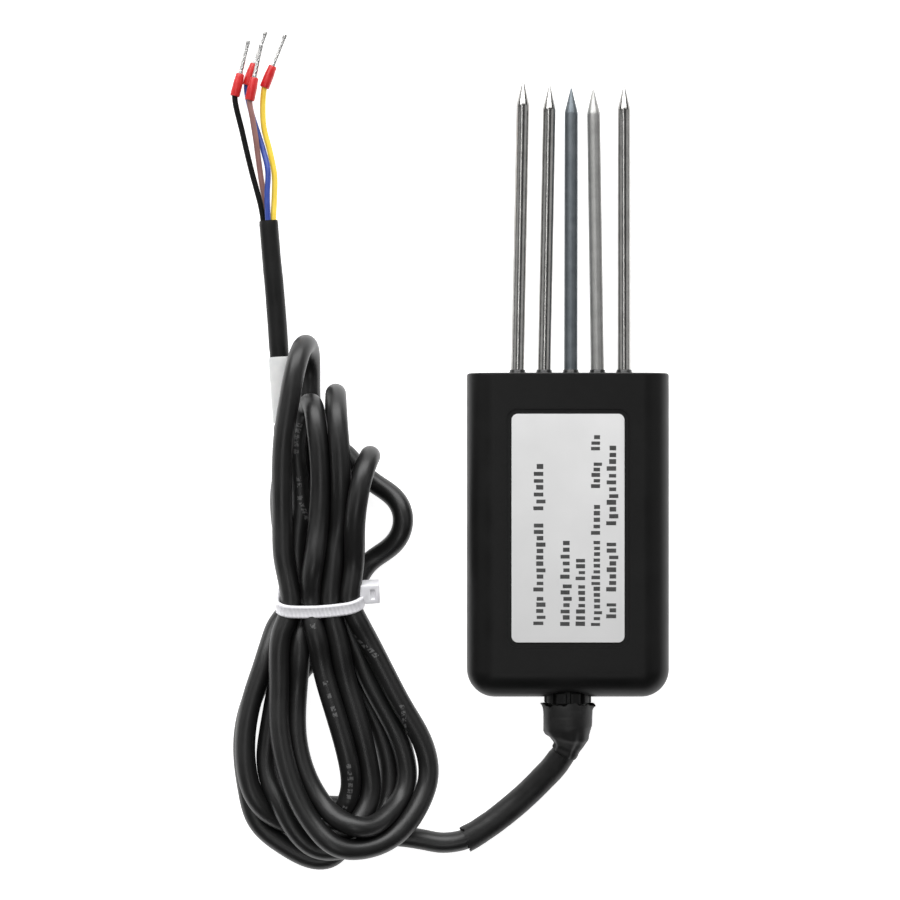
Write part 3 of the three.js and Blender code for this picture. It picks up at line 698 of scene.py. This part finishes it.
def ferrule_collar(name, start, aim):
    collar, tip, bore, length = FERRULE["collar"], FERRULE["tip"], FERRULE["bore"], FERRULE["length"]
    profile = [
        (bore, 0.35), (collar - 0.16, 0), (collar - 0.04, 0.05), (collar, 0.2),
        (collar - 0.02, length * 0.62), (collar - 0.06, length * 0.7), (tip, length * 0.8),
        (tip - 0.02, length - 0.25), (tip - 0.12, length), (bore - 0.08, length),
        (bore - 0.1, length - 0.4),
    ]
    rings = turned(profile, 40, start, (*aim, 0))
    piece = mesh_object("ferrule_sleeve_" + name, *skin(rings, loop=True), 50)
    return finish_piece(piece, looks["ferrule"], "ferrule_plastic", "ferrule_collar_" + name)


def ferrule_tube(name, start, aim):
    """A tinned tube squeezed by the crimping tool into a nearly square section with rows of bites."""
    radius, length = FERRULE["tube"], FERRULE["tube_length"]
    begin = FERRULE["wire_end"] + 0.8
    bite, first, last = 1.25, FERRULE["length"] + 0.5, begin + length - 1.3

    def section(r, distance, angles):
        share = np.clip((distance - first) / 0.5, 0, 1) * np.clip((last + 0.6 - distance) / 0.5, 0, 1)
        square = 1 / np.maximum(np.abs(np.cos(angles)), np.abs(np.sin(angles)))
        squeezed = r * (0.87 + 0.13 * (square - 1) / 0.414)
        dent = 0.09 * (0.5 + 0.5 * math.cos(2 * math.pi * (distance - first) / bite))
        faced = dent * np.cos(4 * angles).clip(0, 1)
        return r * (1 - share) + share * (squeezed - faced)

    stations = np.linspace(begin, begin + length - 0.08, 74)
    profile = [(radius, s) for s in stations] + [(radius - 0.06, begin + length)]
    profile += [(radius - 0.22, begin + length), (radius - 0.26, begin + length - 0.5)]
    rings = turned(profile, 32, start, (*aim, 0), section)
    piece = mesh_object("ferrule_pin_" + name, *skin(rings), 45)
    return finish_piece(piece, looks["tin"], "tinned_copper", "ferrule_tube_" + name)


# ---- sleeves on the cable ----
def hollow_sleeve(name, path, outer, inner, sides=40):
    """A sleeve along a path. outer(i, angles) gives its outer radii, and inner does too or is a radius."""
    angles = circle(sides)
    rings = sweep(path, lambda i: outer(i, angles), angles)
    bore = sweep(path, lambda i: inner(i, angles) if callable(inner) else np.full(sides, inner), angles)
    return mesh_object(name, *skin(rings + bore[::-1], loop=True), 50)


def waver(angles, seed):
    """A smooth uneven wave round a ring, within about -1 to 1."""
    source = random.Random(seed)
    wave = np.zeros(len(angles))
    for k in range(1, 7):
        wave += source.uniform(0.4, 1) / math.sqrt(k) * np.sin(k * angles + source.uniform(0, 6.28))
    return wave / 2


def lead_stretch(start, end, step):
    """The lead's line between two distances along its route, and each point's distance from its start."""
    stations = np.linspace(start, end, int((end - start) / step) + 1)
    return points_at(smooth_curve(LEAD_ROUTE, 24), stations), stations - start


# How far from a torn or skewed rim its shift has died out, in millimetres.
RIM_REACH = 1.6


def build_boot():
    """Heat-shrink boot over the bushing. It has a torn rim and gathers onto the cable with creases."""
    path, distance = lead_stretch(BOOT["start"], BOOT["start"] + BOOT["length"], 0.24)
    left, right, creases = (np.interp(distance, *zip(*BOOT[key])) for key in ("left", "right", "creases"))
    ring = 0.14 * np.exp(-((distance - 7.4) / 0.4) ** 2) + 0.18 * np.clip((distance - 10.1) / 0.3, 0, 1)

    def spike(angles, angle, height, width):
        return height * np.exp(-((angles - angle) / width) ** 2)

    def outer(i, angles):
        leftward = 0.5 + 0.5 * np.sin(angles)
        spikes = spike(angles, 1.45, 0.85, 0.16) + spike(angles, 4.82, 0.95, 0.2)
        flare = np.exp(-distance[i] / 0.7) * (spikes + 0.06 * waver(angles, 5))
        crease = creases[i] * np.sin(7 * angles + 2.2 * waver(angles, 8) + 0.35 * distance[i])
        body = left[i] * leftward + right[i] * (1 - leftward)
        return body + flare + crease + ring[i] + 0.05 * waver(angles, 20 + i // 6)

    def inner(i, angles):
        return np.maximum(outer(i, angles) - BOOT["wall"], BOOT["bore"])

    boot = hollow_sleeve("boot", path, outer, inner, 72)
    rim_y, reach = path[0][1] * MM, RIM_REACH * MM
    for vertex in boot.data.vertices:
        share = (vertex.co.y - rim_y + reach) / reach
        if share > 0:
            angle = math.atan2(vertex.co.x, vertex.co.z - MID_Z * MM) % (2 * math.pi)
            jag = 0.3 * math.sin(3 * angle + 1) + 0.22 * math.sin(8 * angle)
            jag += 0.14 * math.sin(19 * angle + 2)
            vertex.co.y += jag * MM * share
    skew_end(boot, path, lambda around, across: 0.12 * across)
    return finish_piece(boot, looks["shrink"], "heat_shrink", "boot_sleeve")


def skew_end(sleeve, path, shift):
    """Moves the sleeve's far rim along its heading, by shift(angle round it, offset to its right)."""
    heading = unit(path[-1] - path[-3])
    rightward = np.array([-heading[1], heading[0], 0])
    for vertex in sleeve.data.vertices:
        offset = np.array(vertex.co) / MM - path[-1]
        share = (offset @ heading + RIM_REACH) / RIM_REACH
        if share > 0:
            across = offset @ rightward
            vertex.co += Vector(heading * shift(math.atan2(offset[2], across), across) * share * MM)


def build_lead_sleeve():
    path, distance = lead_stretch(LEAD_SLEEVE["start"], LEAD_SLEEVE["end"], 0.6)

    def outer(i, angles):
        last = np.clip((i - len(path) + 5) / 4, 0, 1)
        leftward = np.clip(np.sin(angles), 0, 1) * np.clip(1 - distance[i] / 2, 0, 1)
        return LEAD_SLEEVE["outer"] - 0.34 * leftward + 0.05 * waver(angles, 40 + i // 5) + 0.12 * last

    def jag(around, _):
        return 0.35 * math.sin(2 * around + 0.6) + 0.3 * math.sin(7 * around) + 0.2 * math.sin(15 * around)

    sleeve = hollow_sleeve("lead_sleeve_black", path, outer, LEAD_SLEEVE["inner"], 48)
    skew_end(sleeve, path, jag)
    return finish_piece(sleeve, looks["shrink"], "heat_shrink", "lead_sleeve")


def build_end_sleeve():
    path = resample(smooth_curve(END_SLEEVE_ROUTE), 0.8)
    last = len(path) - 1

    def outer(i, angles):
        edge = 0.07 if i in (0, last) else 0
        squeeze = 0.04 * np.cos(4 * (angles + 0.6)) if i > last - 13 else 0
        return END_SLEEVE["outer"] - edge + 0.05 * waver(angles, 60 + i // 7) + squeeze

    sleeve = hollow_sleeve("end_sleeve_black", path, outer, END_SLEEVE["inner"] - END_SLEEVE["grip"])
    return finish_piece(sleeve, looks["end_shrink"], "heat_shrink", "end_sleeve")


def build_marker():
    path = resample(smooth_curve(END_SLEEVE_ROUTE[:3]), 0.8)

    def outer(i, angles):
        edge = 0.05 if i in (0, len(path) - 1) else 0
        return MARKER["outer"] - edge + 0.03 * waver(angles, 80 + i // 6)

    sleeve = hollow_sleeve("marker_white", path, outer, MARKER["inner"])
    return finish_piece(sleeve, looks["marker"], "marker", "marker_sleeve")


# ---- cable tie ----
def tie_rotation():
    """The turn from the tie's own plane, X across and Z up, to the part's frame."""
    tilt, turn = math.radians(WAIST["tilt"]), math.radians(WAIST["turn"])
    lean = [(1, 0, 0), (0, math.cos(tilt), -math.sin(tilt)), (0, math.sin(tilt), math.cos(tilt))]
    swing = [(math.cos(turn), -math.sin(turn), 0), (math.sin(turn), math.cos(turn), 0), (0, 0, 1)]
    return np.array(swing) @ np.array(lean)


def tie_place(points):
    """Moves points from the tie's own plane into the part's frame."""
    return np.asarray(points, float) @ tie_rotation().T + WAIST["at"]


def strap_rings(grow=0.0, fine=True):
    """Sections of the strap round the bundle, with its row of shallow ribs."""
    middle = TIE["thick"] / 2
    loop = rounded_loop(WAIST["half_x"] + middle, WAIST["half_z"] + middle, WAIST["corner"] + middle, 14)
    loop = np.column_stack([loop[:, 0], np.zeros(len(loop)), loop[:, 1]])
    line = resample(np.vstack([loop, loop[:1]]), 0.22 if fine else 1.2)[:-1]
    ahead = np.roll(line, -1, 0) - np.roll(line, 1, 0)
    out = unit(np.column_stack([ahead[:, 2], np.zeros(len(line)), -ahead[:, 0]]))
    line[:, 1] -= TIE["bow"] * np.clip(1 - (line[:, 0] / WAIST["half_x"]) ** 2, 0, 1) * (line[:, 2] > 0)
    half, thick = TIE["width"] / 2 + grow, middle + grow
    rings = []
    for i, (point, away) in enumerate(zip(line, out)):
        rib = 0.07 * (i % 4 < 2) if fine else 0
        side = [(half - 0.62, thick - rib), (half - 0.5, thick), (half - 0.2, thick), (half, thick - 0.2),
                (half, -thick + 0.2), (half - 0.2, -thick)]
        section = side + [(-w, t) for w, t in side[::-1]]
        rings.append(tie_place([point + away * t + (0, w, 0) for w, t in section]))
    return rings


def build_tie():
    strap = mesh_object("tie_band", *skin(strap_rings(), loop=True), 50)
    finish_piece(strap, looks["nylon"], "nylon", "tie_strap")
    size = TIE_HEAD["size"]
    head = box_solid("tie_lock", [-s / 2 for s in size], [s / 2 for s in size])
    window = box_solid("window", (0.4, -1.1, 1.75), (1.3, 1.1, size[2]))
    combine(head, [window], "DIFFERENCE")
    soften_edges(head, TIE_HEAD["bevel"], 3)
    own_place = np.subtract(TIE_HEAD["at"], WAIST["at"]) @ tie_rotation()
    points = np.array([v.co for v in head.data.vertices]) / MM + own_place
    for vertex, point in zip(head.data.vertices, tie_place(points)):
        vertex.co = point * MM
    channel = mesh_object("channel", *skin(strap_rings(0.06, fine=False), loop=True))
    combine(head, [channel], "DIFFERENCE")
    shade(head, 40)
    finish_piece(head, looks["nylon"], "nylon", "tie_head")
    return [strap, head]


# ---- housing, potting and label ----
def housing_section(y, inset):
    half_x, half_z = HOUSING["width"] / 2 - inset, HOUSING["depth"] / 2 - inset
    loop = rounded_loop(half_x, half_z, HOUSING["round"] - inset, 10)
    return np.column_stack([loop[:, 0], np.full(len(loop), y), loop[:, 1] + MID_Z])


def rounded_end(inset, steps=14):
    """Sections over the housing's rounded cable end, from the flat face to the full outline."""
    round_left = HOUSING["round"] - inset
    rings = []
    for k in range(steps + 1):
        angle = math.radians(4 + 86 * k / steps)
        shrink = round_left * (1 - math.sin(angle))
        y = HOUSING["y0"] + inset + round_left * (1 - math.cos(angle))
        rings.append(housing_section(y, inset + shrink))
    return rings


def cylinder(name, radius, y0, y1):
    return mesh_object(name, *skin(turned([(radius, y0), (radius, y1)], 72, (0, 0, MID_Z), (0, 1, 0))))


def label_outline(margin, corner):
    return {"x": LABEL["x"], "y": LABEL["y"], "corner": corner,
            "half_x": LABEL["width"] / 2 + margin, "half_y": LABEL["length"] / 2 + margin}


def build_housing():
    wall, end = HOUSING["wall"], HOUSING["y1"]
    lip = [(0.5, 0), (0.15, 0.12), (0, 0.45), (0, wall - 0.3), (0.12, wall - 0.08), (0.4, wall)]
    rings = rounded_end(0) + [housing_section(end - back, inset) for back, inset in lip]
    rings += rounded_end(wall)[::-1]
    shell = mesh_object("housing_body", *skin(rings))
    top = HOUSING["depth"]
    outline = label_outline(RECESS["margin"], RECESS["corner"])
    recess = slab("recess", outline, [(top - RECESS["depth"], 0), (top + 1, 0)])
    outlet = cylinder("outlet", BUSHING["barrel"] + 0.3, -70, -55)
    seat = cylinder("seat", BUSHING["collar"] + 0.3, -70, BUSHING["collar_start"] + 0.3)
    combine(shell, [recess, outlet, seat], "DIFFERENCE")
    soften_edges(shell, 0.12)
    shade(shell, 30)
    weigh_normals(shell)
    return finish_piece(shell, looks["housing"], "housing", "housing_shell")


def probe_x(index):
    return PROBE["x"] + (index - 2) * PROBE["pitch"]


def probe_axis(lean):
    angle = math.radians(lean)
    return (math.sin(angle), math.cos(angle), 0)


def build_potting():
    """The resin's face creeps up the wall and up each probe, and keeps the room round the board."""
    inset = HOUSING["wall"] + 0.3
    front = HOUSING["y1"] - 0.3
    face = [(0.05, 0), (-0.12, 0.3), (-0.2, 0.9), (-0.22, 2)]
    rings = rounded_end(inset, 8) + [housing_section(front + rise, inset + more) for rise, more in face]
    potting = mesh_object("potting", *skin(rings))
    heights = [(2.9, -2), (2.9, -0.24), (2.5, -0.2), (2.15, -0.02), (1.9, 0.3), (1.76, 0.7), (1.7, 1.05),
               (1.62, 1.15)]
    mounds = [mesh_object("mound", *skin(turned(heights, 40, (probe_x(i), front, MID_Z), (0, 1, 0))))
              for i in range(len(PROBES))]
    combine(potting, mounds, "UNION")
    pocket = box_solid("pocket", (-19.2, -70, 3.4), (19.2, -1, 11.6))
    room = box_solid("room", (-5.25, -66, -1), (5.25, BUSHING["flange_y"] + 1.3, 16))
    holes = []
    bore = PROBE["radius"] + 0.06
    for i, (_, _, lean, _) in enumerate(PROBES):
        at = probe_x(i), HOUSING["y1"], MID_Z
        holes.append(mesh_object("hole", *skin(turned([(bore, -12), (bore, 4)], 40, at, probe_axis(lean)))))
    combine(potting, [pocket, room, *holes], "DIFFERENCE")
    shade(potting, 40)
    return finish_piece(potting, looks["resin"], "resin", "resin_fill")


def build_label():
    heights = [(LABEL_TOP - LABEL["thick"], 0), (LABEL_TOP - 0.05, 0), (LABEL_TOP - 0.01, 0.02),
               (LABEL_TOP, 0.07)]
    label = slab("label_plate", label_outline(0, LABEL["corner"]), heights)
    finish_piece(label, looks["label"], "label", "label")
    build_print()


# Lines of abstract print on the label: its middle X, its size, and where each run starts and ends in Y.
PRINT_LINES = [
    (-6.8, 2.2, [(-47.9, -41.2), (-40.5, -25), (-22.6, -12)]),
    (-0.95, 2.1, [(-48.1, -38.4), (-37.7, -28.8)]),
    (2.45, 2.1, [(-48.1, -38.5), (-38, -32.8)]),
    (5.8, 2.0, [(-48.1, -28.8), (-28, -20.9), (-17.7, -11.6), (-9.4, -5.7)]),
    (9.25, 2.2, [(-46.4, -42.5), (-40.5, -29.1), (-25.9, -7.9)]),
]


def build_print():
    """Greeked print: a row of plain blocks of changing height and width stands for each run of text."""
    source = random.Random(7)
    vertices, faces = [], []
    for middle, size, runs in PRINT_LINES:
        for start, end in runs:
            count = max(2, round((end - start) / (size * 0.66)))
            pitch = (end - start) / count
            for k in range(count):
                low = start + k * pitch
                high = low + pitch * source.uniform(0.5, 0.74)
                rise = size * (1 if k == 0 else source.choice((0.66, 0.7, 0.72, 0.95)))
                drop = size * (0.22 if k and source.random() < 0.12 else 0)
                right = middle + size / 2 + drop
                left = middle + size / 2 - rise
                faces += [[len(vertices) + n for n in face] for face in BOX_FACES]
                vertices += box_corners((left, low, LABEL_TOP - 0.02), (right, high, LABEL_TOP + 0.015))
    marks = mesh_object("label_print", vertices, faces, 20)
    finish_piece(marks, looks["ink"], "label")


# ---- probes ----
def build_probes():
    radius, cone, tip = PROBE["radius"], PROBE["cone"], PROBE["tip"]
    for i, (name, length, lean, look) in enumerate(PROBES):
        shoulder = length - cone
        profile = [(radius - 0.35, -PROBE["embed"]), (radius, -PROBE["embed"] + 0.35)]
        profile += [(radius, d) for d in np.linspace(-PROBE["embed"] + 2, shoulder - 0.3, 40)]
        profile += [(radius - 0.015, shoulder - 0.05), (radius - 0.07, shoulder + 0.2)]
        profile += [(radius + (tip - radius) * share, shoulder + cone * share)
                    for share in np.linspace(0.09, 0.965, 12)]
        profile += [(tip * 0.9, length - 0.08), (tip * 0.4, length)]
        rings = turned(profile, 48, (probe_x(i), HOUSING["y1"], MID_Z), probe_axis(lean))
        piece = mesh_object(name + "_rod", *skin(rings), 30)
        finish_piece(piece, looks[look], look, name)


# ---- cable outlet ----
def build_bushing():
    """The cable gland: a collar with slots all round it, and a barrel that the boot grips."""
    bore, barrel, collar, flange = (BUSHING[key] for key in ("bore", "barrel", "collar", "flange"))
    tip, end, start, back = (BUSHING[key] for key in ("tip_y", "collar_end", "collar_start", "flange_y"))
    profile = [
        (bore, tip), (barrel - 0.4, tip), (barrel, tip + 0.8), (barrel, end - 0.01), (collar - 0.15, end),
        (collar, end + 0.15), (collar, start - 0.15), (collar - 0.15, start), (barrel, start + 0.01),
        (barrel, back), (flange, back), (flange, back + 1), (bore, back + 1),
    ]

    def slotted(radius, distance, angles):
        if radius <= barrel or distance >= start + 0.005:
            return np.full(len(angles), float(radius))
        phase = (angles / (2 * math.pi) * BUSHING["slots"] + 0.5) % 1
        slot = np.clip((0.17 - np.abs(phase - 0.5)) / 0.03, 0, 1)
        return radius - slot * (radius - barrel - 0.1)

    rings = turned(profile, 240, (0, 0, MID_Z), (0, 1, 0), slotted)
    bushing = mesh_object("gland", *skin(rings, loop=True), 35)
    return finish_piece(bushing, looks["housing"], "housing", "cable_bushing")


# ---- CAD nodes inside the housing, by look ----
INNER_NODES = {
    "board": ["circuit_board"],
    "chip": ["microcontroller", "signal_amplifier", "bus_transceiver", "voltage_regulator",
             "protection_diode", "power_inductor", "temperature_sensor"],
    "solder": ["input_capacitor", "output_capacitor", "crystal",
               *(f"probe_joint_{i + 1}" for i in range(len(PROBES)))],
    **{name: ["inner_lead_" + name] for name, *_ in WIRES},
}


def dress_inner_nodes():
    for look, names in INNER_NODES.items():
        for name in names:
            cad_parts[name].material_slots[0].material = looks[look]


# ---- stage ----
# The camera looks straight down, with its place in millimetres. Each light has a place, a size in metres and
# a power in watts, and is turned to the same spot on the table.
CAMERA = {"at": (-26.26, -9.33, 565.75), "lens": 100, "sensor": 36}
LIT_SPOT = (-0.02, -0.02, 0)
LIGHTS = [
    ("key_far", (-0.1, 0.95, 0.72), (2.0, 0.9), 27),
    ("strip_left", (-0.16, 0.12, 0.95), (0.08, 0.9), 1.0),
    ("box_near", (-0.08, -0.45, 0.95), (0.35, 0.16), 0.8),
    ("side_right", (0.9, 0.1, 0.6), (0.5, 0.8), 0.8),
    ("side_left", (-0.95, 0.0, 0.6), (0.5, 0.8), 0.8),
]
FLOOR_REACH = 3000


def add_camera():
    camera = bpy.data.objects.new("camera", bpy.data.cameras.new("camera"))
    camera.data.lens = CAMERA["lens"]
    camera.data.sensor_width = CAMERA["sensor"]
    camera.data.clip_start = 0.01
    camera.data.clip_end = 20
    camera.location = [value * MM for value in CAMERA["at"]]
    scene.collection.objects.link(camera)
    scene.camera = camera


def add_light(name, location, size, power):
    light = bpy.data.lights.new(name, "AREA")
    light.shape = "RECTANGLE"
    light.size, light.size_y = size
    light.energy = power
    thing = bpy.data.objects.new(name, light)
    thing.location = location
    thing.rotation_euler = (Vector(LIT_SPOT) - Vector(location)).to_track_quat("-Z", "Y").to_euler()
    scene.collection.objects.link(thing)


def add_floor():
    near, far = -FLOOR_REACH, FLOOR_REACH
    corners = [(near, near, 0), (far, near, 0), (far, far, 0), (near, far, 0)]
    floor = mesh_object("floor", corners, [(0, 1, 2, 3)])
    look, _, _ = new_look("floor", Base_Color=grey(0.75), Roughness=0.9, Emission_Color=grey(1),
                          Emission_Strength=0.9, Specular_IOR_Level=0.1)
    floor.data.materials.append(look)


def add_studio():
    add_floor()
    for light in LIGHTS:
        add_light(*light)
    world = bpy.data.worlds.new("studio")
    world.use_nodes = True
    world.node_tree.nodes["Background"].inputs["Color"].default_value = grey(1)
    world.node_tree.nodes["Background"].inputs["Strength"].default_value = 0.07
    scene.world = world
    scene.view_settings.view_transform = "Standard"


add_camera()
add_studio()
cable, cable_line = build_cable()
boot = build_boot()
lead_sleeve = build_lead_sleeve()
end_sleeve = build_end_sleeve()
marker = build_marker()
tie = build_tie()
build_wires()
build_housing()
build_potting()
build_label()
build_probes()
build_bushing()
dress_inner_nodes()
